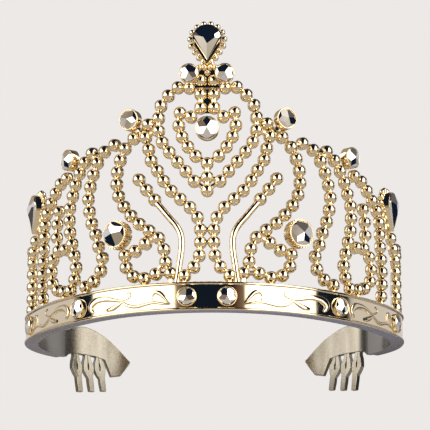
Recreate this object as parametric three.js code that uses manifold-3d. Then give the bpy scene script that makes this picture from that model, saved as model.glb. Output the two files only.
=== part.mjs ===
// A tiara-style crown: a curved mirror-plated band with a comb at each end, carrying an upright
// openwork panel of bead strings, scrolls and faceted stones in metal cups.
// Millimetres, +Z up. The crown faces -Y; the origin is the centre of the head opening in the
// plane of the band's underside. The openwork is laid out flat as (s, z): s is the distance round
// the panel from the centre front, z the height above the underside. It is then wrapped upright
// onto the plan curve. The left half is the mirror image of the right half.
import * as THREE from 'three';
import { mergeVertices } from 'three/addons/utils/BufferGeometryUtils.js';
import Module from 'manifold-3d';

const wasm = await Module();
wasm.setup();
const { Manifold, Mesh: ManifoldMesh } = wasm;

// ---- driving dimensions ---------------------------------------------------------------------
// plan curve of the panel: three tangent arcs each side of the centre front
const FRONT_RADIUS = 51.6;
const SIDE_RADIUS = 84.5;
const REAR_RADIUS = 35.0;
const FRONT_ARC = 34.9;        // where the front arc ends, measured round the curve
const SIDE_ARC = 82.9;         // where the side arc ends
const OPENING_CENTRE = 50.0;   // centre of the head opening behind the centre front

const BAND_HEIGHT = 9.2;
const BAND_FACE = 2.0;         // outward from the panel line to the band's mirror face
const BAND_INSIDE = -2.2;      // and to its inside face
const BAND_END = 117.6;
const RIM_PROUD = 0.5;
const RIM_HEIGHT = 1.0;

const BEAD_RADIUS = 1.88;
const COLLAR_RADIUS = 0.95;    // the neck between two beads
const BEAD_SIDES = 6;
const ROD_RADIUS = 1.05;

const CUP_RIM = 0.4;
const STONE_GAP = 0.3;
const CUP_FLOOR = 0.8;
const CROWN_HEIGHT = 0.5;      // how far a stone stands out of its cup

const DROP_RADIUS = 4.4;       // round end of the drop stones
const DROP_TIP = 8.2;          // centre of the round end to the tip
const DROP_SCALLOP = 1.3;      // how far the scalloped border stands out
const DROP_DEPTH = 4.0;

const PLATE_INSIDE = -2.2;     // comb plate, measured as the band
const PLATE_OUTSIDE = 0.0;
const PLATE_START = BAND_END + 0.3;
const TOOTH_ROOTS = [124.6, 129.4, 134.0];
const TOOTH_TIPS = [-11.5, -11.1, -10.7];
const TOOTH_LEAN = 1.7;        // how far a tooth's tip is set towards the rear
const PRONG_WIDTH = 1.1;
const FINGER_WIDTH = 2.2;
const TOOTH_DEPTH = 1.8;

// ---- materials ------------------------------------------------------------------------------
const gold = new THREE.MeshStandardMaterial({ color: 0xe3c893, roughness: 0.12, metalness: 1.0 });
gold.name = 'gold_plating';
const stoneGold = new THREE.MeshStandardMaterial({ color: 0xefe0c0, roughness: 0.05, metalness: 1.0 });
stoneGold.name = 'mirror_stone';

// ---- the plan curve -------------------------------------------------------------------------
function plan(s) {
  const arcs = [[0, FRONT_ARC, FRONT_RADIUS], [FRONT_ARC, SIDE_ARC, SIDE_RADIUS], [SIDE_ARC, 400, REAR_RADIUS]];
  const a = Math.abs(s);
  let x = 0;
  let y = 0;
  let turn = 0;
  for (const [from, to, radius] of arcs) {
    const next = turn + (Math.min(a, to) - from) / radius;
    x += radius * (Math.sin(next) - Math.sin(turn));
    y += radius * (Math.cos(turn) - Math.cos(next));
    turn = next;
    if (a <= to) break;
  }
  return { x: Math.sign(s) * x, y: y - OPENING_CENTRE, turn: Math.sign(s) * turn };
}

// a point of the flat layout, put in place; out is the distance outward from the panel line
function wrap(s, z, out = 0) {
  const p = plan(s);
  return new THREE.Vector3(p.x + out * Math.sin(p.turn), p.y - out * Math.cos(p.turn), z);
}

// local frame at (s, z): x along the panel, y up, z outward
function frameAt(s, z, out = 0) {
  const { turn } = plan(s);
  const along = new THREE.Vector3(Math.cos(turn), Math.sin(turn), 0);
  const outward = new THREE.Vector3(Math.sin(turn), -Math.cos(turn), 0);
  const m = new THREE.Matrix4().makeBasis(along, new THREE.Vector3(0, 0, 1), outward);
  return m.setPosition(wrap(s, z, out));
}

// ---- solids ---------------------------------------------------------------------------------
// a closed body through a row of rings with the same number of points, capped at both ends
function loft(rings) {
  const n = rings[0].length;
  const points = rings.flat();
  const faces = [];
  for (let i = 0; i + 1 < rings.length; i += 1) {
    for (let j = 0; j < n; j += 1) {
      const k = (j + 1) % n;
      faces.push(i * n + j, i * n + k, (i + 1) * n + k);
      faces.push(i * n + j, (i + 1) * n + k, (i + 1) * n + j);
    }
  }
  const middle = (ring) => ring.reduce((sum, p) => sum.add(p), new THREE.Vector3()).divideScalar(n);
  const first = points.push(middle(rings[0])) - 1;
  const last = points.push(middle(rings.at(-1))) - 1;
  const end = (rings.length - 1) * n;
  for (let j = 0; j < n; j += 1) {
    const k = (j + 1) % n;
    faces.push(first, k, j);
    faces.push(last, end + j, end + k);
  }
  let volume = 0;
  for (let f = 0; f < faces.length; f += 3) {
    const [a, b, c] = [points[faces[f]], points[faces[f + 1]], points[faces[f + 2]]];
    volume += a.dot(new THREE.Vector3().crossVectors(b, c));
  }
  if (volume < 0) faces.reverse();
  const geometry = new THREE.BufferGeometry();
  geometry.setAttribute('position', new THREE.Float32BufferAttribute(points.flatMap((p) => [p.x, p.y, p.z]), 3));
  geometry.setIndex(faces);
  return geometry;
}

function union(...geometries) {
  const solids = geometries.map((g) => {
    const welded = mergeVertices(g, 1e-4);
    return new Manifold(new ManifoldMesh({
      numProp: 3,
      vertProperties: new Float32Array(welded.attributes.position.array),
      triVerts: new Uint32Array(welded.index.array),
    }));
  });
  const mesh = Manifold.union(solids).getMesh();
  const geometry = new THREE.BufferGeometry();
  geometry.setAttribute('position', new THREE.BufferAttribute(new Float32Array(mesh.vertProperties), 3));
  geometry.setIndex(new THREE.BufferAttribute(new Uint32Array(mesh.triVerts), 1));
  return geometry;
}

// ring of points round an axis at a place along a path
function ringAt(centre, direction, outward, radius, sides = BEAD_SIDES) {
  const side = new THREE.Vector3().crossVectors(direction, outward).normalize();
  const front = new THREE.Vector3().crossVectors(side, direction).normalize();
  return Array.from({ length: sides }, (_, i) => {
    const a = ((i + 0.5) / sides) * 2 * Math.PI;
    return centre.clone()
      .addScaledVector(front, radius * Math.cos(a))
      .addScaledVector(side, radius * Math.sin(a));
  });
}

// beads moulded in one with the collars between them. A foot carries the string's last bead down
// to just above the band.
function beadString(layout, { radius = BEAD_RADIUS, foot = false } = {}) {
  const centres = layout.map(([s, z]) => wrap(s, z));
  const outs = layout.map(([s]) => new THREE.Vector3(Math.sin(plan(s).turn), -Math.cos(plan(s).turn), 0));
  const rings = [];
  centres.forEach((c, i) => {
    const before = centres[Math.max(i - 1, 0)];
    const after = centres[Math.min(i + 1, centres.length - 1)];
    const along = after.clone().sub(before).normalize();
    const put = (shift, r) => rings.push(ringAt(c.clone().addScaledVector(along, shift), along, outs[i], r));
    if (i === 0) put(-0.9 * radius, 0.45 * radius);
    put(-0.42 * radius, radius);
    put(0.42 * radius, radius);
    if (i + 1 < centres.length) {
      const between = c.clone().add(after).divideScalar(2);
      const step = after.clone().sub(c).normalize();
      rings.push(ringAt(between, step, outs[i], COLLAR_RADIUS));
    } else {
      put(0.9 * radius, 0.45 * radius);
    }
  });
  const string = loft(rings);
  return foot ? union(string, footUnder(...layout.at(-1))) : string;
}

// a short peg from a bead down to the band
function footUnder(s, z) {
  const up = new THREE.Vector3(0, 0, 1);
  const out = new THREE.Vector3(Math.sin(plan(s).turn), -Math.cos(plan(s).turn), 0);
  const heights = [BAND_HEIGHT + 0.3, z];
  return loft(heights.map((h) => ringAt(wrap(s, h), up, out, 0.9)));
}

const circle = (radius, sides) => Array.from({ length: sides }, (_, i) => {
  const a = ((i + 0.5) / sides) * 2 * Math.PI;
  return [radius * Math.cos(a), radius * Math.sin(a)];
});

// outline of a drop, round end up, grown outward by a margin; scallops ripple it
function dropOutline(margin, sides, scallop = 0) {
  const reach = DROP_TIP + margin * 0.6;
  const radius = DROP_RADIUS + margin;
  const touch = Math.asin(radius / reach);
  return Array.from({ length: sides }, (_, i) => {
    const a = -Math.PI / 2 + (i / sides) * 2 * Math.PI;
    const fromTip = Math.abs(a + Math.PI / 2 > Math.PI ? a - 1.5 * Math.PI : a + Math.PI / 2);
    const edge = fromTip < Math.PI / 2 - touch
      ? (reach * Math.sin(touch)) / Math.sin(fromTip + touch)
      : radius;
    const r = edge - (i % 2 ? 0 : scallop * Math.min(1, fromTip));
    return [r * Math.cos(a), r * Math.sin(a)];
  });
}

const level = (outline, height) => outline.map(([x, y]) => new THREE.Vector3(x, y, height));
const shrink = (outline, k, dy = 0) => outline.map(([x, y]) => [x * k, y * k + dy]);

// an open cup; its outline is cut back by the rim to make the pocket
function cup(outer, pocket, depth) {
  return loft([level(outer, 0), level(outer, depth), level(pocket, depth), level(pocket, CUP_FLOOR)]);
}

function facetedStone(outline, depth) {
  const top = depth + CROWN_HEIGHT;
  return loft([
    level(shrink(outline, 0.7), CUP_FLOOR + STONE_GAP),
    level(outline, depth - 0.4),
    level(outline, depth),
    level(shrink(outline, 0.62), top),
  ]);
}

// ---- assembly -------------------------------------------------------------------------------
const crown = new THREE.Group();
crown.name = 'tiara_crown';

function add(name, geometry, material) {
  const flat = geometry.index ? geometry.toNonIndexed() : geometry;
  flat.computeVertexNormals();
  const mesh = new THREE.Mesh(mergeVertices(flat, 1e-4), material);
  mesh.name = name;
  crown.add(mesh);
}

// left and right are as seen from the front: make(side) is called with -1 for -X and +1 for +X
function addPair(name, make, material) {
  add(`${name}_left`, make(-1), material);
  add(`${name}_right`, make(1), material);
}

const mirrored = (layout, side) => layout.map(([s, z]) => [side * s, z]);
const bothWays = (half) => [...mirrored(half, -1), ...half.slice(0, -1).reverse()];

// the band: a mirror face between two raised rims, with a ring round each of its six stones
const BAND_STONES = [6.1, 46.1, 80.9];
const BAND_STONE_HEIGHT = 4.5;
const BAND_RING = 3.15;
const BAND_RING_FACE = 3.0;
const BAND_STONE = BAND_RING - CUP_RIM - STONE_GAP;
const BAND_STATIONS = 72;
const bandSection = [
  [BAND_INSIDE, 0],
  [BAND_FACE + RIM_PROUD, 0],
  [BAND_FACE + RIM_PROUD, RIM_HEIGHT],
  [BAND_FACE, RIM_HEIGHT],
  [BAND_FACE, BAND_HEIGHT - RIM_HEIGHT],
  [BAND_FACE + RIM_PROUD, BAND_HEIGHT - RIM_HEIGHT],
  [BAND_FACE + RIM_PROUD, BAND_HEIGHT],
  [BAND_INSIDE, BAND_HEIGHT],
];
const bandRings = Array.from({ length: BAND_STATIONS + 1 }, (_, i) => {
  const s = -BAND_END + (2 * BAND_END * i) / BAND_STATIONS;
  return bandSection.map(([out, z]) => wrap(s, z, out));
});
const stoneRings = [-1, 1].flatMap((side) => BAND_STONES.map((s) => {
  const ring = cup(circle(BAND_RING, 14), circle(BAND_RING - CUP_RIM, 14), BAND_RING_FACE - BAND_FACE + CUP_FLOOR);
  return ring.applyMatrix4(frameAt(side * s, BAND_STONE_HEIGHT, BAND_FACE - CUP_FLOOR));
}));
add('band', union(loft(bandRings), ...stoneRings), gold);

// six faceted stones, one in each ring of the band
BAND_STONES.forEach((s, i) => {
  addPair(`band_stone_${i + 1}`, (side) => {
    const outline = circle(BAND_STONE, 10);
    const stone = loft([
      level(outline, 0),
      level(outline, 0.5),
      level(shrink(outline, 0.6), 1.1),
    ]);
    return stone.applyMatrix4(frameAt(side * s, BAND_STONE_HEIGHT, BAND_FACE + STONE_GAP));
  }, stoneGold);
});

// the combs: a curved plate carrying on from each end of the band, with three slit teeth
const PLATE = [
  // s, lower edge, upper edge
  [PLATE_START, -0.6, 9.2],
  [120.8, 1.3, 9.9],
  [124.0, 1.6, 11.0],
  [128.0, 1.5, 11.3],
  [132.0, 1.2, 10.3],
  [135.8, 0.2, 8.5],
  [138.4, -5.5, 6.9],
  [142.0, -5.0, 3.6],
  [145.5, -0.5, -0.1],
];

function comb(side) {
  const ringFor = (s, low, high) => [
    wrap(side * s, low, PLATE_INSIDE),
    wrap(side * s, low, PLATE_OUTSIDE),
    wrap(side * s, high, PLATE_OUTSIDE),
    wrap(side * s, high, PLATE_INSIDE),
  ];
  const plateRings = PLATE.flatMap(([s, low, high], i) => {
    if (i + 1 === PLATE.length) return [ringFor(s, low, high)];
    const [s2, low2, high2] = PLATE[i + 1];
    return [ringFor(s, low, high), ringFor((s + s2) / 2, (low + low2) / 2, (high + high2) / 2)];
  });
  const teeth = TOOTH_ROOTS.flatMap((s, i) => {
    const frame = frameAt(side * s, 0, PLATE_INSIDE + 0.2 + TOOTH_DEPTH / 2);
    const bar = (stations) => loft(stations.map(([x, z, width]) => [
      [-1, -1], [1, -1], [1, 1], [-1, 1],
    ].map(([u, v]) => new THREE.Vector3(side * x + (u * width) / 2, z, (v * TOOTH_DEPTH) / 2)))).applyMatrix4(frame);
    const prong = (k) => bar([
      [k * 0.85, 2.4, PRONG_WIDTH],
      [k * 1.2, 0.0, PRONG_WIDTH],
      [k * 1.2 + 0.2, -2.4, PRONG_WIDTH],
      [k * 0.5 + 0.55, -4.9, PRONG_WIDTH],
    ]);
    const finger = bar([
      [0.5, -3.9, FINGER_WIDTH],
      [0.9, -5.8, FINGER_WIDTH],
      [TOOTH_LEAN, TOOTH_TIPS[i], FINGER_WIDTH * 0.9],
    ]);
    return [prong(-1), prong(1), finger];
  });
  return union(loft(plateRings), ...teeth);
}
addPair('comb', comb, gold);

// the outer heart-shaped loop of the crest, with the bead that links it to the inner heart
const CREST = [[5.8, 72.8], [9.5, 73.1], [12.7, 70.6], [15.2, 67.4], [16.0, 63.4], [16.0, 59.2], [14.7, 55.3],
  [12.3, 51.9], [9.6, 48.6], [6.9, 45.4], [4.2, 42.1], [0, 39.0]];
const link = beadString([[0, 43.3], [0, 39.6]]);
add('crest_loop', union(beadString(bothWays(CREST)), link), gold);

// the smaller heart hanging inside it round the centre stone
const INNER_HEART = [[5.2, 63.2], [8.8, 64.6], [9.2, 60.4], [8.1, 56.7], [6.2, 53.4], [3.7, 50.3], [0, 47.8]];
add('inner_heart', beadString(bothWays(INNER_HEART)), gold);

// the centre column: two rows of beads on a flat backing bar
const COLUMN = [[2.15, 75.0], [2.15, 70.5], [2.15, 66.1]];
const COLUMN_TOP = [[1.35, 78.2], [1.9, 76.0]];
const backing = loft([64.6, 79.2].map((z) => [[-2.4, -1.7], [2.4, -1.7], [2.4, -0.7], [-2.4, -0.7]]
  .map(([s, out]) => wrap(s, z, out))));
const rows = [-1, 1].flatMap((side) => [
  beadString(mirrored(COLUMN, side)),
  beadString(mirrored(COLUMN_TOP, side), { radius: 1.15 }),
]);
add('centre_column', union(backing, ...rows), gold);

// the long V strings that run from the crest down to the middle and out to the band
const BRANCH = [[19.4, 53.4], [18.5, 49.6], [16.3, 46.1], [14.2, 42.6], [11.6, 39.2], [8.6, 36.4], [5.5, 33.6],
  [3.1, 30.3], [2.15, 26.3], [2.15, 22.2], [2.5, 18.0], [4.2, 14.3], [7.2, 11.6]];
addPair('branch', (side) => beadString(mirrored(BRANCH, side), { foot: true }), gold);

// sprigs: three beads on a bent smooth rod standing between the branch and the leaf
const SPRIG = [[22.8, 43.8], [20.1, 40.2], [17.2, 36.7]];
const SPRIG_ROD = [[16.4, 35.8], [12.4, 30.8], [9.2, 26.7], [8.2, 24.0], [8.2, 20.4], [8.9, 17.0], [9.5, 14.4]];
function sprig(side) {
  const rings = SPRIG_ROD.map(([s, z], i) => {
    const before = SPRIG_ROD[Math.max(i - 1, 0)];
    const after = SPRIG_ROD[Math.min(i + 1, SPRIG_ROD.length - 1)];
    const along = wrap(side * after[0], after[1]).sub(wrap(side * before[0], before[1])).normalize();
    const { turn } = plan(side * s);
    const outward = new THREE.Vector3(Math.sin(turn), -Math.cos(turn), 0);
    return ringAt(wrap(side * s, z), along, outward, ROD_RADIUS, 8);
  });
  return union(beadString(mirrored(SPRIG, side)), loft(rings));
}
addPair('sprig', sprig, gold);

// the knot of beads under each upper stone
const KNOT = [[19.5, 61.6], [20.5, 57.5], [24.8, 57.6]];
addPair('knot', (side) => beadString(mirrored(KNOT, side)), gold);

// the leaf: a string that swells out and returns to the band, with a loop inside its foot
const LEAF = [[28.1, 54.7], [30.0, 51.1], [31.2, 47.3], [31.4, 43.3], [30.6, 39.3], [28.5, 35.6], [25.7, 32.3],
  [22.6, 29.3], [19.1, 26.8], [15.8, 24.2], [14.0, 20.4], [13.4, 16.2], [11.7, 12.5]];
addPair('leaf', (side) => beadString(mirrored(LEAF, side), { foot: true }), gold);
const LEAF_LOOP = [[20.3, 22.7], [24.0, 20.6], [27.9, 19.6], [27.4, 15.6], [24.7, 12.5], [20.7, 11.5], [16.7, 12.6]];
addPair('leaf_loop', (side) => union(
  beadString(mirrored(LEAF_LOOP, side)),
  footUnder(side * 20.7, 11.5),
), gold);

// two garland strings, each hung from the string before it and falling to the band
const INNER_GARLAND = [[32.4, 56.5], [36.7, 55.0], [39.9, 51.8], [41.9, 48.2], [43.3, 44.3], [44.2, 40.3],
  [43.6, 36.1], [42.4, 32.0], [40.5, 28.1], [39.1, 23.9], [37.3, 20.0], [38.0, 15.9], [41.1, 12.9], [45.2, 11.7]];
addPair('inner_garland', (side) => beadString(mirrored(INNER_GARLAND, side), { foot: true }), gold);
const OUTER_GARLAND = [[42.6, 55.4], [46.1, 53.0], [48.9, 49.9], [51.0, 46.5], [52.5, 42.9], [54.1, 39.1],
  [54.3, 35.0], [53.9, 30.9], [52.6, 26.9], [51.3, 22.8], [50.2, 18.7], [51.0, 14.9]];
addPair('outer_garland', (side) => beadString(mirrored(OUTER_GARLAND, side)), gold);

// the oval loop beside the outer garland, and the short stalk of beads standing over it
const OVAL = [[56.8, 25.8], [61.0, 26.2], [64.6, 23.9], [65.9, 19.9], [65.0, 15.8], [61.4, 13.0], [57.3, 11.9],
  [53.2, 11.6]];
addPair('oval_loop', (side) => union(
  beadString(mirrored(OVAL, side)),
  footUnder(side * 57.3, 11.9),
), gold);
const STALK = [[61.0, 39.3], [62.1, 35.1], [62.3, 30.7]];
addPair('oval_stalk', (side) => beadString(mirrored(STALK, side)), gold);

// the side string: along the top edge past the drop stone, then straight down to the band
const SIDE_STRING = [[56.1, 49.6], [60.1, 48.5], [63.6, 46.0], [66.9, 43.3], [70.0, 40.5], [71.9, 36.9],
  [72.3, 32.8], [72.6, 28.7], [73.2, 24.6], [73.7, 20.5], [73.6, 16.3], [72.9, 12.2]];
addPair('side_string', (side) => beadString(mirrored(SIDE_STRING, side), { foot: true }), gold);

// behind the drop stone, the last string and the loop that closes the panel
const REAR_STRING = [[82.4, 33.6], [85.2, 30.5], [87.8, 27.2], [89.6, 23.5], [90.4, 19.4], [90.4, 15.2], [90.0, 11.4]];
addPair('rear_string', (side) => beadString(mirrored(REAR_STRING, side), { foot: true }), gold);
const REAR_LOOP = [[90.2, 31.5], [94.0, 30.0], [97.1, 27.3], [98.9, 23.6], [99.4, 19.4], [98.8, 15.2], [97.0, 11.6]];
addPair('rear_loop', (side) => beadString(mirrored(REAR_LOOP, side), { foot: true }), gold);

// round stones in cups. Each row: name, s, z, where the cup's back stands, cup radius, cup depth
const ROUND_STONES = [
  ['top_round', 5.35, 76.6, 2.25, 3.15, 2.2],
  ['upper', 25.2, 63.4, 0.0, 3.5, 2.8],
  ['middle', 52.4, 54.7, 0.0, 3.5, 2.8],
  ['big', 29.8, 26.2, -0.6, 4.45, 4.0],
];
const roundCup = (radius, depth) => cup(circle(radius, 16), circle(radius - CUP_RIM, 16), depth);
const roundStone = (radius, depth) => facetedStone(circle(radius - CUP_RIM - STONE_GAP, 10), depth);
for (const [name, s, z, out, radius, depth] of ROUND_STONES) {
  addPair(`${name}_cup`, (side) => roundCup(radius, depth).applyMatrix4(frameAt(side * s, z, out)), gold);
  addPair(`${name}_stone`, (side) => roundStone(radius, depth).applyMatrix4(frameAt(side * s, z, out)), stoneGold);
}
const HEART = { z: 59.0, out: -0.6, radius: 3.8, depth: 3.2 };
add('heart_cup', roundCup(HEART.radius, HEART.depth).applyMatrix4(frameAt(0, HEART.z, HEART.out)), gold);
add('heart_stone', roundStone(HEART.radius, HEART.depth).applyMatrix4(frameAt(0, HEART.z, HEART.out)), stoneGold);

// drop-shaped stones in scalloped cups: one on top of the column, one at each side
const dropCup = () => cup(
  dropOutline(DROP_SCALLOP, 36, DROP_SCALLOP * 0.45),
  dropOutline(0, 36),
  DROP_DEPTH,
);
const dropStone = () => facetedStone(dropOutline(-STONE_GAP, 18), DROP_DEPTH);
const TOP_DROP = { z: 88.5, out: -1.6 };
const SIDE_DROP = { s: 80.0, z: 44.0, out: -1.9 };
add('top_drop_cup', dropCup().applyMatrix4(frameAt(0, TOP_DROP.z, TOP_DROP.out)), gold);
add('top_drop_stone', dropStone().applyMatrix4(frameAt(0, TOP_DROP.z, TOP_DROP.out)), stoneGold);
addPair('side_drop_cup', (side) => dropCup().applyMatrix4(frameAt(side * SIDE_DROP.s, SIDE_DROP.z, SIDE_DROP.out)),
  gold);
addPair('side_drop_stone', (side) => dropStone()
  .applyMatrix4(frameAt(side * SIDE_DROP.s, SIDE_DROP.z, SIDE_DROP.out)), stoneGold);

export default crown;
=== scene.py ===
import math

import bmesh
import bpy
from mathutils import Matrix, Vector


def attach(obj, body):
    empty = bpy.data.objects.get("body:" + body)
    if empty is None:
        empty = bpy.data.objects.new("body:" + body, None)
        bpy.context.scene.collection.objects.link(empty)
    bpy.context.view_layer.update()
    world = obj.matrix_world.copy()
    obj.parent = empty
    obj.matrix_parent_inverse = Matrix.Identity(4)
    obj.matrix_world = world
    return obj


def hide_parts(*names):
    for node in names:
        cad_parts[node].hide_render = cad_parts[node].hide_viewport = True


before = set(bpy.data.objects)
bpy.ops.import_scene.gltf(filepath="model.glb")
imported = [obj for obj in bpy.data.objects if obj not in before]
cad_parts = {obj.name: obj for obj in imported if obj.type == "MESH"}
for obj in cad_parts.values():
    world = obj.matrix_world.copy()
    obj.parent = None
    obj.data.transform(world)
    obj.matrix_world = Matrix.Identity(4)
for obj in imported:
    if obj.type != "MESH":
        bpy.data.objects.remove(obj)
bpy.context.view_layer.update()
MM = 0.001

# --- Camera ------------------------------------------------------------------------------------
# The crown hangs a little above the lens, which looks up at it from almost straight in front.
# A long lens from nearly a metre away keeps the two sides almost parallel.
LOOK_AT = Vector((1.42, -20.0, 37.73)) * MM
CAMERA_TURN = math.radians(2.04)
CAMERA_RISE = math.radians(-12.69)
CAMERA_DISTANCE = 879 * MM
camera_back = Vector((
    math.sin(CAMERA_TURN) * math.cos(CAMERA_RISE),
    -math.cos(CAMERA_TURN) * math.cos(CAMERA_RISE),
    math.sin(CAMERA_RISE),
))
camera_data = bpy.data.cameras.new("camera")
camera_data.lens = 224.6
camera_data.sensor_width = 36
camera_data.clip_end = 20
camera = bpy.data.objects.new("camera", camera_data)
camera.location = LOOK_AT + camera_back * CAMERA_DISTANCE
camera.rotation_euler = (-camera_back).to_track_quat("-Z", "Y").to_euler()
bpy.context.scene.collection.objects.link(camera)
bpy.context.scene.camera = camera
bpy.context.scene.view_settings.view_transform = "Standard"
bpy.context.scene.view_settings.look = "None"


# --- Studio ------------------------------------------------------------------------------------
# A pale floor well below the lens, a pale backdrop, and two tall softboxes beside the camera.
# The dark room between and above the softboxes is what the plating shows as navy streaks.
FLOOR_DROP = -0.42
FLOOR_RADIUS = 1.3
BACKDROP = (0.84, 0.815, 0.80, 1)
SOFTBOX_LEFT = (2.5, 2.5, 2.6, 1)
SOFTBOX_RIGHT = (3.0, 3.0, 3.1, 1)
ROOM_LEFT = (0.38, 0.33, 0.27, 1)
ROOM_RIGHT = (0.13, 0.12, 0.13, 1)
ROOM_BACK = (0.64, 0.66, 0.78, 1)
ROOM_CORNER = (0.035, 0.035, 0.045, 1)
ROOM_FLOOR = (0.34, 0.30, 0.24, 1)
UNDER_LENS = (0.17, 0.165, 0.14, 1)
TABLE_EDGE = (0.035, 0.04, 0.055, 1)
WEDGE_EDGE = (0.13, 0.07, 0.05, 1)
CEILING = (0.006, 0.012, 0.030, 1)
world = bpy.data.worlds.new("studio")
bpy.context.scene.world = world
world.use_nodes = True
studio = world.node_tree
studio.nodes.clear()


def maths(tree, operation, *inputs):
    node = tree.nodes.new("ShaderNodeMath")
    node.operation = operation
    for socket, value in zip(node.inputs, inputs):
        if isinstance(value, (int, float)):
            socket.default_value = value
        else:
            tree.links.new(value, socket)
    return node.outputs[0]


def ramp(tree, value, low, high, to_low=0.0, to_high=1.0):
    node = tree.nodes.new("ShaderNodeMapRange")
    node.interpolation_type = "SMOOTHSTEP"
    tree.links.new(value, node.inputs["Value"])
    for name, number in (("From Min", low), ("From Max", high), ("To Min", to_low), ("To Max", to_high)):
        node.inputs[name].default_value = number
    return node.outputs["Result"]


def blend(tree, factor, a, b):
    node = tree.nodes.new("ShaderNodeMix")
    node.data_type = "RGBA"
    if isinstance(factor, (int, float)):
        node.inputs["Factor"].default_value = factor
    else:
        tree.links.new(factor, node.inputs["Factor"])
    for name, value in (("A", a), ("B", b)):
        socket = next(s for s in node.inputs if s.name == name and s.type == "RGBA")
        if isinstance(value, tuple):
            socket.default_value = value
        else:
            tree.links.new(value, socket)
    return next(s for s in node.outputs if s.type == "RGBA")


direction = studio.nodes.new("ShaderNodeTexCoord").outputs["Generated"]
xyz = studio.nodes.new("ShaderNodeSeparateXYZ")
studio.links.new(direction, xyz.inputs[0])
to_front = maths(studio, "MULTIPLY", xyz.outputs["Y"], -1.0)
turned = maths(studio, "ARCTAN2", xyz.outputs["X"], to_front)
azimuth = maths(studio, "MULTIPLY", turned, 180 / math.pi)
height = maths(studio, "MULTIPLY", maths(studio, "ARCSINE", xyz.outputs["Z"]), 180 / math.pi)
aside = maths(studio, "ABSOLUTE", azimuth)


def zone(tree, *edges):
    """Where a direction lies inside every edge, each an angle with where it starts and is full."""
    inside = None
    for angle, start, full in edges:
        step = ramp(tree, angle, start, full)
        inside = maths(tree, "MULTIPLY", inside, step) if inside else step
    return inside


# the room, in degrees round from the lens and up from level: beige to the left and darker to
# the right, a pale far wall, dark low corners, a warm floor and a dark ceiling
sky = blend(studio, ramp(studio, azimuth, -60, 90), ROOM_LEFT, ROOM_RIGHT)
far_wall = zone(studio, (aside, 94, 104), (height, 24, 18), (height, 2, 6))
sky = blend(studio, far_wall, sky, ROOM_BACK)
sky = blend(studio, zone(studio, (height, -4, -16)), sky, ROOM_FLOOR)
sky = blend(studio, zone(studio, (aside, 96, 106), (height, -13, -18)), sky, ROOM_CORNER)
under_lens = zone(studio, (aside, 45, 15), (height, -12, -24), (height, -62, -45))
sky = blend(studio, under_lens, sky, UNDER_LENS)
table_edge = zone(studio, (aside, 88, 70), (height, -34, -40), (height, -62, -54))
sky = blend(studio, table_edge, sky, TABLE_EDGE)
sky = blend(studio, zone(studio, (height, 58, 70)), sky, CEILING)

# a wedge of dark room between the softboxes, which widens upward and leans to the left
WEDGE_LEAN, WEDGE_SPREAD = 0.3, 0.62
above = maths(studio, "MAXIMUM", maths(studio, "SUBTRACT", height, 14), 0.0)
lean = maths(studio, "MULTIPLY", above, WEDGE_LEAN)
from_middle = maths(studio, "ABSOLUTE", maths(studio, "ADD", azimuth, lean))
wedge = maths(studio, "SUBTRACT", from_middle, maths(studio, "MULTIPLY", above, WEDGE_SPREAD))
sky = blend(studio, zone(studio, (wedge, 27, 18), (height, -10, 4)), sky, WEDGE_EDGE)
sky = blend(studio, zone(studio, (wedge, 20, 15), (height, -10, 4)), sky, CEILING)

# a dark gap beyond the outer edge of each softbox
left_gap = zone(studio, (azimuth, -87, -89), (azimuth, -102, -98))
right_gap = zone(studio, (azimuth, 77, 80), (azimuth, 101, 97))
gap = maths(studio, "MAXIMUM", left_gap, right_gap)
sky = blend(studio, maths(studio, "MULTIPLY", gap, zone(studio, (height, 40, 30))), sky, CEILING)

# the softboxes: their upper edges rise to the side, and the right one is higher and brighter
top_left = maths(studio, "SUBTRACT", height, maths(studio, "MULTIPLY", aside, 0.4))
top_right = maths(studio, "SUBTRACT", height, maths(studio, "MULTIPLY", aside, 0.5))
left_box = zone(
    studio, (wedge, 23, 27), (height, -15, -6), (azimuth, 0, -1), (azimuth, -89, -86), (top_left, 20, 8)
)
right_box = zone(
    studio, (wedge, 23, 27), (height, -15, -6), (azimuth, 0, 1), (azimuth, 80, 76), (top_right, 32, 20)
)
sky = blend(studio, left_box, sky, SOFTBOX_LEFT)
sky = blend(studio, right_box, sky, SOFTBOX_RIGHT)
lit_tent = studio.nodes.new("ShaderNodeBackground")
studio.links.new(sky, lit_tent.inputs["Color"])
backdrop = studio.nodes.new("ShaderNodeBackground")
backdrop.inputs["Color"].default_value = BACKDROP
seen = studio.nodes.new("ShaderNodeLightPath").outputs["Is Camera Ray"]
choose = studio.nodes.new("ShaderNodeMixShader")
studio.links.new(seen, choose.inputs[0])
studio.links.new(lit_tent.outputs[0], choose.inputs[1])
studio.links.new(backdrop.outputs[0], choose.inputs[2])
studio.links.new(choose.outputs[0], studio.nodes.new("ShaderNodeOutputWorld").inputs["Surface"])

floor_paint = bpy.data.materials.new("floor_paint")
floor_paint.use_nodes = True
floor_bsdf = floor_paint.node_tree.nodes["Principled BSDF"]
floor_bsdf.inputs["Roughness"].default_value = 0.9
floor_noise = floor_paint.node_tree.nodes.new("ShaderNodeTexNoise")
floor_noise.inputs["Scale"].default_value = 3
floor_pale, floor_paler = (0.88, 0.86, 0.84, 1), (0.91, 0.89, 0.87, 1)
floor_mix = blend(floor_paint.node_tree, floor_noise.outputs["Fac"], floor_pale, floor_paler)
floor_paint.node_tree.links.new(floor_mix, floor_bsdf.inputs["Base Color"])
floor_shape = bmesh.new()
bmesh.ops.create_circle(floor_shape, cap_ends=True, segments=96, radius=FLOOR_RADIUS)
bmesh.ops.translate(floor_shape, verts=floor_shape.verts, vec=(0, 0, FLOOR_DROP))
floor_mesh = bpy.data.meshes.new("floor")
floor_shape.to_mesh(floor_mesh)
floor_shape.free()
floor_mesh.materials.append(floor_paint)
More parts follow.
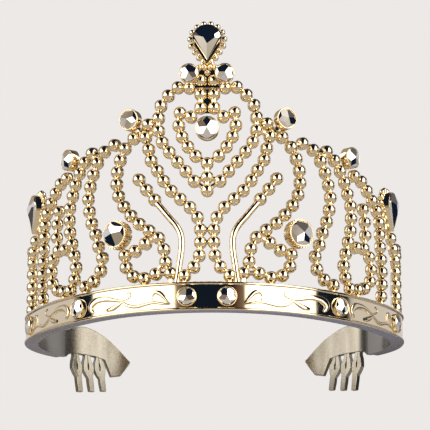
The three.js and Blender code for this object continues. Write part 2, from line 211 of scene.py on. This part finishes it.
floor = bpy.data.objects.new("floor", floor_mesh)
bpy.context.scene.collection.objects.link(floor)


# --- The band ----------------------------------------------------------------------------------
# A stiff moulded strip of plastic, mirror-plated on its face between two raised rims, duller on its
# flat underside and rougher on its inside, whose darker colour is painted shade. It follows three
# tangent arcs each side of the centre front.
FRONT_RADIUS, SIDE_RADIUS, REAR_RADIUS = 51.6, 84.5, 35.0
FRONT_ARC, SIDE_ARC = 34.9, 82.9
OPENING_CENTRE = 50.0
BAND_HEIGHT, BAND_FACE, BAND_INSIDE, BAND_END = 9.2, 2.0, -2.2, 117.6
RIM_HEIGHT, RIM_PROUD = 1.0, 0.5


def plan(s):
    """Place and turn on the plan curve, s millimetres round from the centre front."""
    x, y, turn, start = 0.0, -OPENING_CENTRE, 0.0, 0.0
    for end, radius in ((FRONT_ARC, FRONT_RADIUS), (SIDE_ARC, SIDE_RADIUS), (400.0, REAR_RADIUS)):
        after = turn + (min(abs(s), end) - start) / radius
        x += radius * (math.sin(after) - math.sin(turn))
        y += radius * (math.cos(turn) - math.cos(after))
        turn, start = after, end
        if abs(s) <= end:
            break
    side = math.copysign(1, s)
    return side * x, y, side * turn


def place(s, z, out=0.0):
    """A point of the flat layout, wrapped onto the plan curve, in metres."""
    x, y, turn = plan(s)
    return Vector((x + out * math.sin(turn), y - out * math.cos(turn), z)) * MM


def setting(s, z, out=0.0):
    """Where a piece is set on the panel: its own Z points outward and its Y up. Millimetres in."""
    turn = plan(s)[2]
    along = Vector((math.cos(turn), math.sin(turn), 0))
    outward = Vector((math.sin(turn), -math.cos(turn), 0))
    turned = Matrix((along, (0, 0, 1), outward)).transposed().to_4x4()
    return Matrix.Translation(place(s, z, out)) @ turned @ Matrix.Scale(MM, 4)


def bend(bm):
    """Wraps a shape drawn flat, x round the head, y up and z outward, onto the plan curve."""
    for vert in bm.verts:
        vert.co = place(*vert.co)


def plated(name, pale, deep, roughness, ripple, grain=420):
    """Bright plating on moulded plastic: mirror-like, with a faint drift of colour and ripple."""
    material = bpy.data.materials.new(name)
    material.use_nodes = True
    tree = material.node_tree
    bsdf = tree.nodes["Principled BSDF"]
    bsdf.inputs["Metallic"].default_value = 1.0
    where = tree.nodes.new("ShaderNodeTexCoord").outputs["Object"]
    drift = tree.nodes.new("ShaderNodeTexNoise")
    drift.inputs["Scale"].default_value = 90
    drift.inputs["Detail"].default_value = 3
    tree.links.new(where, drift.inputs["Vector"])
    tree.links.new(blend(tree, drift.outputs["Fac"], pale, deep), bsdf.inputs["Base Color"])
    haze = tree.nodes.new("ShaderNodeTexNoise")
    haze.inputs["Scale"].default_value = grain
    haze.inputs["Detail"].default_value = 4
    tree.links.new(where, haze.inputs["Vector"])
    tree.links.new(
        ramp(tree, haze.outputs["Fac"], 0.3, 0.8, roughness * 0.7, roughness * 1.5),
        bsdf.inputs["Roughness"],
    )
    bump = tree.nodes.new("ShaderNodeBump")
    bump.inputs["Strength"].default_value = ripple
    bump.inputs["Distance"].default_value = 0.05 * MM
    tree.links.new(haze.outputs["Fac"], bump.inputs["Height"])
    tree.links.new(bump.outputs["Normal"], bsdf.inputs["Normal"])
    return material


gold = plated("gold_plating", (0.95, 0.80, 0.53, 1), (0.91, 0.73, 0.44, 1), 0.05, 0.15)
# a rougher copy of the plating for the inside and the combs: the satin roughness is the finish, its darker
# colour is painted shade
shaded_satin = plated("satin_inside_painted_shade", (0.36, 0.325, 0.25, 1), (0.33, 0.295, 0.225, 1), 0.22, 0.0, grain=30)
grey_edge = plated("grey_underside", (0.37, 0.37, 0.46, 1), (0.33, 0.33, 0.42, 1), 0.28, 0.0, grain=30)


def finish_piece(bm, name, *finishes, node=None, slot="gold_plating", crease=40):
    """Turns a finished shape into a piece of the crown, in place of its CAD node."""
    mesh = bpy.data.meshes.new(name)
    for face in bm.faces:
        face.smooth = True
    bm.to_mesh(mesh)
    bm.free()
    mesh.set_sharp_from_angle(angle=math.radians(crease))
    for finish in finishes:
        mesh.materials.append(finish)
    piece = bpy.data.objects.new(f"{name}_piece", mesh)
    bpy.context.scene.collection.objects.link(piece)
    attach(piece, "root")
    if node:
        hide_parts(node)
    return piece


RIM = RIM_HEIGHT / 2
rim_curve = [(RIM_PROUD * math.sin(a), -RIM * math.cos(a)) for a in (math.pi * k / 6 for k in range(7))]
band_section = [(BAND_INSIDE, 0.0)]
band_section += [(BAND_FACE + out, RIM + up) for out, up in rim_curve]
band_section += [(BAND_FACE + out, BAND_HEIGHT - RIM + up) for out, up in rim_curve]
band_section += [(BAND_INSIDE, BAND_HEIGHT)]
BAND_STEPS = 196


def loft(bm, rings):
    """A closed skin over a row of rings, each a list of points in the same order."""
    loops = []
    for ring in rings:
        verts = [bm.verts.new(point) for point in ring]
        loops.append([bm.edges.new(pair) for pair in zip(verts, verts[1:] + verts[:1])])
        if ring is rings[0] or ring is rings[-1]:
            bm.faces.new(verts)
    for start, end in zip(loops, loops[1:]):
        bmesh.ops.bridge_loops(bm, edges=start + end)
    bmesh.ops.recalc_face_normals(bm, faces=bm.faces)


bm = bmesh.new()
stations = [BAND_END * (2 * k / BAND_STEPS - 1) for k in range(BAND_STEPS + 1)]
loft(bm, [[(s, up, out) for out, up in band_section] for s in stations])
# inward faces take the satin plating with painted shade, downward faces the grey underside
for face in bm.faces:
    face.material_index = 1 if face.normal.z < -0.9 else 2 if face.normal.y < -0.9 else 0
bend(bm)
bmesh.ops.recalc_face_normals(bm, faces=bm.faces)
finish_piece(bm, "band", gold, shaded_satin, grey_edge, node="band", crease=30)


# --- Scrollwork on the band --------------------------------------------------------------------
# A low flat-topped relief moulded on the mirror face: a hollow half leaf, a stem that swells and
# thins, a bud and a broad hooked curl. The bay behind the middle stone mirrors the front one.
BAND_STONES = (6.1, 46.1, 80.9)
BAND_STONE_HEIGHT = 4.5
RELIEF = 0.55
scroll_strokes = (
    # each stroke: s, z and half width
    ((27.0, 4.4, 0.3), (30.0, 5.0, 0.55), (33.0, 5.7, 0.7), (36.0, 5.95, 0.85), (38.6, 5.5, 1.0),
     (40.1, 4.2, 1.0), (39.8, 2.9, 0.7), (38.8, 2.0, 0.35)),
    ((27.2, 4.1, 0.3), (29.0, 3.2, 0.6), (31.0, 2.4, 0.75), (33.2, 2.1, 0.45)),
    ((27.2, 4.7, 0.25), (25.4, 5.1, 0.3), (24.4, 5.9, 0.3), (24.8, 6.7, 0.3), (25.8, 7.0, 0.25)),
    ((27.2, 4.1, 0.3), (25.2, 2.8, 0.5), (22.4, 2.2, 0.55), (19.5, 2.6, 0.45), (16.5, 3.0, 0.4),
     (13.5, 2.5, 0.4), (11.4, 2.2, 0.25)),
    ((16.7, 3.2, 0.3), (17.0, 4.8, 0.35), (16.4, 6.1, 0.5), (15.0, 6.1, 0.65), (13.4, 4.8, 0.6),
     (12.2, 3.3, 0.45), (11.2, 2.2, 0.25)),
)


def stroke_on_face(route, rounding, out):
    """A round line of changing width along a smooth route drawn flat, as a mesh."""
    curve = bpy.data.curves.new("stroke", "CURVE")
    curve.dimensions = "3D"
    curve.bevel_depth = 1.0
    curve.bevel_resolution = rounding
    curve.use_fill_caps = True
    curve.resolution_u = 6
    spline = curve.splines.new("BEZIER")
    spline.bezier_points.add(len(route) - 1)
    for point, (s, z, half_width) in zip(spline.bezier_points, route):
        point.co = (s, z, out)
        point.radius = half_width
        point.handle_left_type = point.handle_right_type = "AUTO"
    holder = bpy.data.objects.new("stroke", curve)
    bpy.context.scene.collection.objects.link(holder)
    mesh = bpy.data.meshes.new_from_object(holder.evaluated_get(bpy.context.evaluated_depsgraph_get()))
    bpy.data.objects.remove(holder)
    bpy.data.curves.remove(curve)
    return mesh


def add_mesh(bm, mesh):
    """Adds mesh data to a shape and returns its vertices."""
    before = set(bm.verts)
    bm.from_mesh(mesh)
    bpy.data.meshes.remove(mesh)
    return [v for v in bm.verts if v not in before]


BAYS = (1.0, -0.91)
STROKE_SWELL = 1.2
EDGE_SLOPE = 1.35
for side, hand in ((-1, "left"), (1, "right")):
    bm = bmesh.new()
    middle = BAND_STONES[1]
    for stretch in BAYS:
        for route in scroll_strokes:
            swollen = [(s, z, STROKE_SWELL * half) for s, z, half in route]
            verts = add_mesh(bm, stroke_on_face(swollen, 4, 0.0))
            for vert in verts:
                proud = min(1.0, EDGE_SLOPE * abs(vert.co.z)) * math.copysign(RELIEF, vert.co.z)
                vert.co.x = side * (middle + (vert.co.x - middle) * stretch)
                vert.co.z = BAND_FACE + proud
    bmesh.ops.remove_doubles(bm, verts=bm.verts, dist=0.001)
    bend(bm)
    bmesh.ops.recalc_face_normals(bm, faces=bm.faces)
    finish_piece(bm, f"scrollwork_{hand}", gold, crease=60)


# --- Stones of the band ------------------------------------------------------------------------
# Six round faceted stones with the same bright plating, each glued in a raised ring on the face.
BAND_RING = 3.15
RING_PROUD = 1.0
RING_WALL = 0.45
stone_plating = plated("mirror_stone", (0.97, 0.92, 0.80, 1), (0.94, 0.87, 0.72, 1), 0.025, 0.0)


def ring_wall(bm, radius, wall, low, high, sides=32):
    """A round wall with a rounded lip, turned about its axis."""
    lip = wall / 2
    section = [(radius - wall, low), (radius, low)]
    for a in (math.pi * k / 5 for k in range(6)):
        section.append((radius - lip + lip * math.cos(a), high - lip + lip * math.sin(a)))
    verts = [bm.verts.new((r, 0, h)) for r, h in section]
    edges = [bm.edges.new(pair) for pair in zip(verts, verts[1:] + verts[:1])]
    bmesh.ops.spin(bm, geom=verts + edges, cent=(0, 0, 0), axis=(0, 0, 1), angle=math.tau, steps=sides,
                   use_merge=True, use_duplicate=False)
    bmesh.ops.remove_doubles(bm, verts=bm.verts, dist=0.001)
    bmesh.ops.recalc_face_normals(bm, faces=bm.faces)


def new_verts(bm, make):
    """Runs make() and returns only the vertices that it added."""
    before = set(bm.verts)
    make()
    return [v for v in bm.verts if v not in before]


def cut_facet(bm, direction, tilt, reach, top):
    """Grinds one flat facet: it leans by tilt towards direction and meets the table at reach."""
    away = Vector((math.cos(math.radians(direction)), math.sin(math.radians(direction)), 0))
    lean = math.radians(tilt)
    normal = away * math.sin(lean) + Vector((0, 0, math.cos(lean)))
    everything = bm.verts[:] + bm.edges[:] + bm.faces[:]
    start = away * reach + Vector((0, 0, top))
    cut = bmesh.ops.bisect_plane(bm, geom=everything, dist=0.0001, plane_co=start, plane_no=normal,
                                 clear_outer=True)
    edges = [e for e in cut["geom_cut"] if isinstance(e, bmesh.types.BMEdge)]
    if edges:
        bmesh.ops.contextual_create(bm, geom=edges)


STONE_RISE = 0.42
WIDE_TILT, STEEP_TILT, STEEP_REACH = 19, 38, 0.45


def round_stone(bm, radius, low, rim, sides, turn, lean):
    """A round stone ground to a low point with a ring of wide facets and a ring of steep ones."""
    top = rim + radius * STONE_RISE
    blank = top + 1.5
    bmesh.ops.create_cone(bm, cap_ends=True, segments=40, radius1=radius, radius2=radius, depth=blank - low,
                          matrix=Matrix.Translation((0, 0, (blank + low) / 2)))
    for k in range(sides):
        direction = turn + 360 * k / sides
        across = math.radians(direction - lean[0])
        cut_facet(bm, direction, WIDE_TILT + lean[1] * math.cos(across), 0, top)
        cut_facet(bm, direction + 180 / sides, STEEP_TILT, radius * STEEP_REACH, top)
    bmesh.ops.recalc_face_normals(bm, faces=bm.faces)


for number, s in enumerate(BAND_STONES, 1):
    for side, hand in ((-1, "left"), (1, "right")):
        bm = bmesh.new()
        round_stone(bm, BAND_RING - 0.5, 0.2, 0.7, 5, 90 + 36 * side, (90, 4))
        bm.transform(setting(side * s, BAND_STONE_HEIGHT, BAND_FACE))
        finish_piece(bm, f"band_stone_{number}_{hand}", stone_plating,
                     node=f"band_stone_{number}_{hand}", slot="mirror_stone", crease=5)
        bm = bmesh.new()
        ring_wall(bm, BAND_RING, RING_WALL, -0.4, RING_PROUD)
        bm.transform(setting(side * s, BAND_STONE_HEIGHT, BAND_FACE))
        finish_piece(bm, f"band_ring_{number}_{hand}", gold)


# --- Side combs --------------------------------------------------------------------------------
# The band's ends run on as thin curved plates, moulded in one with three teeth each that push
# into the hair. A tooth is two prongs that meet in a square finger, with a slit between them.
PLATE_INSIDE, PLATE_OUTSIDE = -2.2, 0.0
PLATE_STATIONS = [
    # s, lower edge, upper edge
    (BAND_END, 0.0, 9.2), (118.6, 0.0, 9.35), (120.2, 1.3, 9.9), (121.8, 1.45, 10.5), (123.4, 1.6, 11.0),
    (125.4, 1.55, 11.25), (127.4, 1.5, 11.3), (129.4, 1.35, 10.9), (131.4, 1.2, 10.3), (133.3, 0.7, 9.4),
    (135.2, 0.2, 8.5), (136.5, -2.6, 7.7), (137.8, -5.5, 6.9), (139.6, -5.25, 5.3), (141.4, -5.0, 3.6),
    (143.2, -2.75, 1.75), (144.9, -0.6, 0.0),
]
TOOTH_ROOTS = {124.0: -11.5, 128.8: -11.1, 133.4: -10.7}
TOOTH_INSIDE, TOOTH_OUTSIDE = -2.0, -0.2
PLATE_ROUNDING, TOOTH_ROUNDING = 0.22, 0.14
SHARP = 1.0
# each step: s from the root, z and half width
PRONGS = (
    [(-0.95, 2.8, 0.6), (-1.0, 0.6, 0.6), (-1.15, -0.9, 0.9), (-1.2, -2.5, 0.95), (-1.1, -3.5, 1.0),
     (-0.2, -5.2, 0.9), (0.6, -6.6, 0.6)],
    [(0.0, 2.8, 0.6), (0.15, 0.6, 0.6), (0.6, -0.9, 0.85), (1.25, -2.2, 1.0), (1.3, -3.4, 1.05),
     (1.2, -5.4, 0.95)],
)
FINGER = [(0.55, -3.6, 0.7), (0.75, -4.6, 1.1), (0.95, -6.0, 1.1), (1.25, -8.2, 1.1)]


def bar(bm, route, low, high):
    """A square bar drawn flat: each step gives the place of its middle and its half width."""
    loft(bm, [[(s - half, z, low), (s + half, z, low), (s + half, z, high), (s - half, z, high)]
              for s, z, half in route])


for side, hand in ((-1, "left"), (1, "right")):
    bm = bmesh.new()
    corners = ((0, PLATE_INSIDE), (1, PLATE_INSIDE), (1, PLATE_OUTSIDE), (0, PLATE_OUTSIDE))
    loft(bm, [[(s, edges[upper], out) for upper, out in corners] for s, *edges in PLATE_STATIONS])
    free_edges = [e for e in bm.edges if max(v.co.x for v in e.verts) > BAND_END + 0.1]
    plate_edges = [e for e in free_edges if e.calc_face_angle() > SHARP]
    bmesh.ops.bevel(bm, geom=plate_edges, affect="EDGES", offset=PLATE_ROUNDING, segments=2, profile=0.5,
                    material=-1, clamp_overlap=True)
    plate_faces = set(bm.faces)
    for root, tip in TOOTH_ROOTS.items():
        for prong in PRONGS:
            bar(bm, [(root + s, z, half) for s, z, half in prong], TOOTH_INSIDE, TOOTH_OUTSIDE)
        finger = [(root + s, z, half) for s, z, half in FINGER]
        bar(bm, finger + [(root + 1.7, tip, 0.95)], TOOTH_INSIDE, TOOTH_OUTSIDE)
    bmesh.ops.recalc_face_normals(bm, faces=bm.faces)
    on_teeth = [e for e in bm.edges if not plate_faces.intersection(e.link_faces)]
    tooth_edges = [e for e in on_teeth if e.calc_face_angle() > SHARP]
    bmesh.ops.bevel(bm, geom=tooth_edges, affect="EDGES", offset=TOOTH_ROUNDING, segments=2, profile=0.5,
                    material=-1, clamp_overlap=True)
    for vert in bm.verts:
        vert.co.x *= side
    bend(bm)
    bmesh.ops.recalc_face_normals(bm, faces=bm.faces)
    # the whole comb takes the satin plating, whose darker colour is painted shade
    finish_piece(bm, f"comb_{hand}", shaded_satin, node=f"comb_{hand}", crease=18)


# --- Bead strings ------------------------------------------------------------------------------
# Strings of half-round beads with flat backs, joined by short necks and moulded in one piece with
# the panel. The last bead of most strings stands on the band on a short peg.
BEAD_RADIUS = 2.12
NECK_RADIUS = 0.78
NECK_SHARE = 0.6
PEG_RADIUS = 0.75
BEAD_BACK = -0.6
BEAD_PROFILE = ((0.5, 0.87), (0.87, 0.5), (1.0, 0.0), (1.0, BEAD_BACK * 0.8), (0.9, BEAD_BACK))


def bead(bm, s, z, radius=BEAD_RADIUS):
    """One bead: a dome facing outward on a short straight wall, with a flat back."""
    verts = new_verts(bm, lambda: bmesh.ops.create_uvsphere(bm, u_segments=12, v_segments=6, radius=1))
    for vert in verts:
        reach = math.hypot(vert.co.x, vert.co.y)
        level = round(math.degrees(math.acos(max(-1, min(1, vert.co.z)))) / 30)
        if 0 < level < 6:
            wide, out = BEAD_PROFILE[level - 1]
            vert.co = Vector((vert.co.x / reach * wide, vert.co.y / reach * wide, out)) * radius
        else:
            vert.co = Vector((0, 0, 1 if level == 0 else BEAD_BACK)) * radius
    bmesh.ops.transform(bm, matrix=setting(s, z), verts=verts)


def neck(bm, start, end, radius=NECK_RADIUS):
    """The short neck between two beads, given as two places on the panel."""
    a, b = place(*start), place(*end)
    along = b - a
    matrix = Matrix.Translation((a + b) / 2) @ along.to_track_quat("Z", "Y").to_matrix().to_4x4()
    bmesh.ops.create_cone(bm, cap_ends=True, segments=8, radius1=radius * MM, radius2=radius * MM,
                          depth=along.length * NECK_SHARE, matrix=matrix)


def string(bm, route, radius=BEAD_RADIUS):
    for s, z in route:
        bead(bm, s, z, radius)
    for start, end in zip(route, route[1:]):
        neck(bm, start, end, min(NECK_RADIUS, radius * 0.6))


def peg(bm, s, z):
    """The short peg under a bead, standing on the band."""
    neck(bm, (s, z - 0.2), (s, BAND_HEIGHT - 1.2), PEG_RADIUS)


def both_ways(half):
    return [(-s, z) for s, z in half] + list(reversed(half[:-1]))


def mirrored(route, side):
    return [(side * s, z) for s, z in route]


CREST = [(5.8, 72.8), (9.5, 73.1), (12.7, 70.6), (15.2, 67.4), (16.0, 63.4), (16.0, 59.2), (14.7, 55.3),
         (12.3, 51.9), (9.6, 48.6), (6.9, 45.4), (4.2, 42.1), (0, 39.0)]
INNER_HEART = [(5.2, 63.2), (8.8, 64.6), (9.2, 60.4), (8.1, 56.7), (6.2, 53.4), (3.7, 50.3), (0, 47.8)]
bm = bmesh.new()
string(bm, both_ways(CREST))
bead(bm, 0, 43.3)
neck(bm, (0, 43.3), (0, 39.0))
neck(bm, (0, 43.3), (4.2, 42.1))
neck(bm, (0, 43.3), (-4.2, 42.1))
finish_piece(bm, "crest_loop", gold, node="crest_loop")
bm = bmesh.new()
string(bm, both_ways(INNER_HEART))
neck(bm, (0, 47.8), (0, 43.3))
finish_piece(bm, "inner_heart", gold, node="inner_heart")

ROUTES = {
    "branch": [(19.4, 53.4), (18.5, 49.6), (16.3, 46.1), (14.2, 42.6), (11.6, 39.2), (8.6, 36.4), (5.5, 33.6),
               (3.1, 30.3), (2.15, 26.3), (2.15, 22.2), (2.5, 18.0), (4.2, 14.3), (7.2, 11.6)],
    "knot": [(19.5, 61.6), (20.5, 57.5), (24.8, 57.6)],
    "leaf": [(28.1, 54.7), (30.0, 51.1), (31.2, 47.3), (31.4, 43.3), (30.6, 39.3), (28.5, 35.6), (25.7, 32.3),
             (22.6, 29.3), (19.1, 26.8), (15.8, 24.2), (14.0, 20.4), (13.4, 16.2), (11.7, 12.5)],
    "leaf_loop": [(20.3, 22.7), (24.0, 20.6), (27.9, 19.6), (27.4, 15.6), (24.7, 12.5), (20.7, 11.5),
                  (16.7, 12.6)],
    "inner_garland": [(32.4, 56.5), (36.7, 55.0), (39.9, 51.8), (41.9, 48.2), (43.3, 44.3), (44.2, 40.3),
                      (43.6, 36.1), (42.4, 32.0), (40.5, 28.1), (39.1, 23.9), (37.3, 20.0), (38.0, 15.9),
                      (41.1, 12.9), (45.2, 11.7)],
    "outer_garland": [(42.6, 55.4), (46.1, 53.0), (48.9, 49.9), (51.0, 46.5), (52.5, 42.9), (54.1, 39.1),
                      (54.3, 35.0), (53.9, 30.9), (52.6, 26.9), (51.3, 22.8), (50.2, 18.7), (51.0, 14.9)],
    "oval_loop": [(56.8, 25.8), (61.0, 26.2), (64.6, 23.9), (65.9, 19.9), (65.0, 15.8), (61.4, 13.0),
                  (57.3, 11.9), (53.2, 11.6)],
    "oval_stalk": [(61.0, 39.3), (62.1, 35.1), (62.3, 30.7)],
    "side_string": [(56.1, 49.6), (60.1, 48.5), (63.6, 46.0), (66.9, 43.3), (70.0, 40.5), (71.9, 36.9),
                    (72.3, 32.8), (72.6, 28.7), (73.2, 24.6), (73.7, 20.5), (73.6, 16.3), (72.9, 12.2)],
    "rear_string": [(82.4, 33.6), (85.2, 30.5), (87.8, 27.2), (89.6, 23.5), (90.4, 19.4), (90.4, 15.2),
                    (90.0, 11.4)],
    "rear_loop": [(90.2, 31.5), (94.0, 30.0), (97.1, 27.3), (98.9, 23.6), (99.4, 19.4), (98.8, 15.2),
                  (97.0, 11.6)],
}
PEGS = {"branch": [-1], "leaf": [-1], "leaf_loop": [5], "inner_garland": [-1], "oval_loop": [6],
        "side_string": [-1], "rear_string": [-1], "rear_loop": [-1]}
# necks that tie a string to its neighbour
TIES = {
    "branch": [((19.4, 53.4), (20.5, 57.5)), ((2.15, 26.3), (-2.15, 26.3)), ((2.15, 22.2), (-2.15, 22.2))],
    "knot": [((19.5, 61.6), (16.0, 59.2)), ((20.5, 57.5), (16.0, 59.2)), ((24.8, 57.6), (28.1, 54.7)),
             ((24.8, 57.6), (19.5, 61.6)), ((24.4, 62.2), (20.5, 57.5)), ((25.2, 62.6), (24.8, 57.6))],
    "leaf": [((28.1, 54.7), (32.4, 56.5))],
    "leaf_loop": [((20.3, 22.7), (15.8, 24.2)), ((20.3, 22.7), (19.1, 26.8)), ((16.7, 12.6), (11.7, 12.5)),
                  ((16.7, 12.6), (13.4, 16.2))],
    "inner_garland": [((39.9, 51.8), (42.6, 55.4)), ((36.7, 55.0), (42.6, 55.4))],
    "oval_loop": [((56.8, 25.8), (52.6, 26.9)), ((53.2, 11.6), (51.0, 14.9)), ((61.0, 26.2), (62.3, 30.7))],
    "rear_loop": [((90.2, 31.5), (87.8, 27.2))],
}
for name, route in ROUTES.items():
    for side, hand in ((-1, "left"), (1, "right")):
        bm = bmesh.new()
        string(bm, mirrored(route, side))
        for index in PEGS.get(name, []):
            peg(bm, side * route[index][0], route[index][1])
        for start, end in TIES.get(name, []):
            neck(bm, (side * start[0], start[1]), (side * end[0], end[1]))
        finish_piece(bm, f"{name}_{hand}", gold, node=f"{name}_{hand}")


# --- The centre column -------------------------------------------------------------------------
# Two rows of beads side by side on a flat backing bar, which shows as dark diamonds between them.
COLUMN = [(2.15, 75.0), (2.15, 70.5), (2.15, 66.1)]
SMALL_BEAD = 1.0
SMALL_BEADS = [(-2.6, 79.4), (-0.95, 79.4), (0.95, 79.4), (2.6, 79.4), (0, 77.6)]
# each flat bar: its middle height and place outward, then its width, height and thickness
BARS = ((72.4, -0.6, (5.2, 16.0, 0.8)), (72.9, 0.0, (7.6, 0.8, 1.6)))
bm = bmesh.new()
for side in (-1, 1):
    string(bm, mirrored(COLUMN, side))
for s, z in SMALL_BEADS:
    bead(bm, s, z, SMALL_BEAD)
for z, out, size in BARS:
    verts = new_verts(bm, lambda: bmesh.ops.create_cube(bm, size=1))
    bmesh.ops.scale(bm, vec=size, verts=verts)
    bmesh.ops.transform(bm, matrix=setting(0, z, out), verts=verts)
finish_piece(bm, "centre_column", gold, node="centre_column")


# --- Sprigs ------------------------------------------------------------------------------------
# Three beads at the top of a bent round rod, which is fused between two beads at the band.
SPRIG = [(22.8, 43.8), (20.1, 40.2), (17.2, 36.7)]
SPRIG_ROD = [(17.0, 36.4), (12.4, 30.8), (9.2, 26.7), (8.2, 24.0), (8.1, 20.4), (8.8, 15.0), (9.6, 9.4)]
ROD_RADIUS = 1.05
for side, hand in ((-1, "left"), (1, "right")):
    bm = bmesh.new()
    rod = add_mesh(bm, stroke_on_face([(s, z, ROD_RADIUS) for s, z in SPRIG_ROD], 3, 0.2))
    bmesh.ops.remove_doubles(bm, verts=rod, dist=0.001)
    rod = bm.verts[:]
    for vert in rod:
        vert.co.x *= side
    bend(bm)
    string(bm, mirrored(SPRIG, side))
    bmesh.ops.recalc_face_normals(bm, faces=bm.faces)
    finish_piece(bm, f"sprig_{hand}", gold, node=f"sprig_{hand}", crease=50)


# --- Round stones in cups ----------------------------------------------------------------------
# Faceted plated stones glued into plain round cups: a pair beside the column, one in the heart,
# and three pairs along the panel. The big pair stands in deep cups with ribbed walls.
ROUND_STONES = (
    # name, s, z, where the back stands, radius, depth, facets round, then for each side the
    # turn of the first facet, and the lean of the whole stone as a direction and a tilt
    ("top_round", 5.35, 76.6, 2.25, 3.15, 2.2, 6, {-1: 93, 1: 87}, {-1: (0, 0), 1: (0, 0)}),
    ("upper", 25.2, 63.4, 0.0, 3.5, 2.8, 5, {-1: 56, 1: 124}, {-1: (180, 4), 1: (60, 4)}),
    ("middle", 52.4, 54.7, 0.0, 3.5, 2.8, 5, {-1: 80, 1: 100}, {-1: (60, 4), 1: (120, 4)}),
    ("big", 29.8, 26.2, -0.6, 4.45, 4.0, 5, {-1: 100, 1: 90}, {-1: (270, 7), 1: (90, 6)}),
    ("heart", 0.0, 59.0, -0.6, 3.8, 3.2, 6, {0: 90}, {0: (90, 0)}),
)
CUP_WALL = 0.4
CUP_BASE = 0.8
BIG_CUP_RIBS = 28
RIB_RADIUS = 0.3


def round_cup(radius, depth, ribs):
    bm = bmesh.new()
    ring_wall(bm, radius, CUP_WALL, 0.0, depth, sides=40)
    inside = radius - 0.05
    bmesh.ops.create_cone(bm, cap_ends=True, segments=40, radius1=inside, radius2=inside, depth=CUP_BASE,
                          matrix=Matrix.Translation((0, 0, CUP_BASE / 2)))
    for k in range(ribs):
        around = Matrix.Rotation(math.tau * k / ribs, 4, "Z")
        rib = around @ Matrix.Translation((inside, 0, depth / 2 - 0.2))
        bmesh.ops.create_cone(bm, cap_ends=True, segments=6, radius1=RIB_RADIUS, radius2=RIB_RADIUS,
                              depth=depth - 0.9, matrix=rib)
    bmesh.ops.recalc_face_normals(bm, faces=bm.faces)
    return bm


for name, s, z, back, radius, depth, sides, turn, lean in ROUND_STONES:
    pair = ((0, ""),) if name == "heart" else ((-1, "_left"), (1, "_right"))
    for side, hand in pair:
        bm = round_cup(radius, depth, BIG_CUP_RIBS if name == "big" else 0)
        bm.transform(setting(side * s, z, back))
        finish_piece(bm, f"{name}_cup{hand}", gold, node=f"{name}_cup{hand}")
        bm = bmesh.new()
        round_stone(bm, radius - CUP_WALL * 0.7, 0.9, depth - 0.3, sides, turn[side], lean[side])
        bm.transform(setting(side * s, z, back))
        finish_piece(bm, f"{name}_stone{hand}", stone_plating, node=f"{name}_stone{hand}",
                     slot="mirror_stone", crease=5)


# --- Drop stones -------------------------------------------------------------------------------
# Drop-shaped faceted stones, one on the column and one at each side. Each lies in a deep smooth
# cup, and a row of round knobs on short stems stands out from the cup's back edge like a frill.
DROP_RADIUS, DROP_TIP, DROP_DEPTH = 4.4, 8.2, 4.0
DROP_RISE = 1.45
DROP_FACETS = (
    # direction and tilt in degrees, and how far from the middle the facet starts
    (0, 9, 0), (63, 20, 0.9), (117, 20, 0.9), (6, 21, 1.5), (148, 20, 1.7),
    (-37, 27, 1.3), (217, 27, 1.3), (-32, 50, 2.5), (212, 50, 2.5),
)
KNOBS, KNOB_REACH, KNOB_RADIUS = 17, 1.05, 1.05
STEM_RADIUS, STEM_LENGTH = KNOB_RADIUS * 0.9, 1.2


def drop_outline(margin, count):
    """Points round a drop, tip first, grown outward by a margin and evenly spaced."""
    radius, reach = DROP_RADIUS + margin, DROP_TIP + margin * 1.4
    touch = math.acos(radius / reach)
    straight = math.sqrt(reach ** 2 - radius ** 2)
    total = 2 * straight + radius * (math.tau - 2 * touch)
    points = []
    for k in range(count):
        along = total * k / count
        side = 1 if along <= total / 2 else -1
        along = min(along, total - along)
        if along < straight:
            end = Vector((radius * math.sin(touch), -radius * math.cos(touch)))
            point = Vector((0, -reach)).lerp(end, along / straight)
        else:
            a = touch + (along - straight) / radius
            point = Vector((radius * math.sin(a), -radius * math.cos(a)))
        points.append(Vector((side * point.x, point.y)))
    return points


def drop_cup():
    bm = bmesh.new()
    # each ring of the wall: how far out from the stone's outline, and how high
    walls = ((0.3, 0.0), (0.3, DROP_DEPTH - 0.12), (0.2, DROP_DEPTH), (0.05, DROP_DEPTH),
             (-0.05, DROP_DEPTH - 0.3), (-0.05, 0.8))
    loft(bm, [[(p.x, p.y, level) for p in drop_outline(margin, 60)] for margin, level in walls])
    for p in drop_outline(KNOB_REACH, KNOBS)[1:]:
        outward = Vector((p.x, p.y, 0)).normalized().to_track_quat("Z", "Y").to_matrix().to_4x4()
        matrix = Matrix.Translation((p.x, p.y, KNOB_RADIUS + 0.1)) @ outward
        bmesh.ops.create_uvsphere(bm, u_segments=12, v_segments=6, radius=KNOB_RADIUS, matrix=matrix)
        bmesh.ops.create_cone(bm, cap_ends=True, segments=10, radius1=STEM_RADIUS, radius2=STEM_RADIUS,
                              depth=STEM_LENGTH, matrix=matrix @ Matrix.Translation((0, 0, -STEM_LENGTH / 2)))
    bmesh.ops.recalc_face_normals(bm, faces=bm.faces)
    return bm


def drop_stone():
    """Two dark facets at the top, one at each shoulder, and long ones down to the tip."""
    bm = bmesh.new()
    top = DROP_DEPTH + DROP_RISE
    loft(bm, [[(p.x, p.y, level) for p in drop_outline(-0.1, 60)] for level in (0.9, top + 0.5)])
    for direction, tilt, reach in DROP_FACETS:
        cut_facet(bm, direction, tilt, reach, top)
    bmesh.ops.recalc_face_normals(bm, faces=bm.faces)
    return bm


for name, side, s, z, back in (
    ("top_drop", "", 0.0, 88.5, -1.6),
    ("side_drop", "_left", -80.0, 44.0, -1.9),
    ("side_drop", "_right", 80.0, 44.0, -1.9),
):
    bm = drop_cup()
    bm.transform(setting(s, z, back))
    finish_piece(bm, f"{name}_cup{side}", gold, node=f"{name}_cup{side}")
    bm = drop_stone()
    bm.transform(setting(s, z, back))
    finish_piece(bm, f"{name}_stone{side}", stone_plating, node=f"{name}_stone{side}",
                 slot="mirror_stone", crease=5)
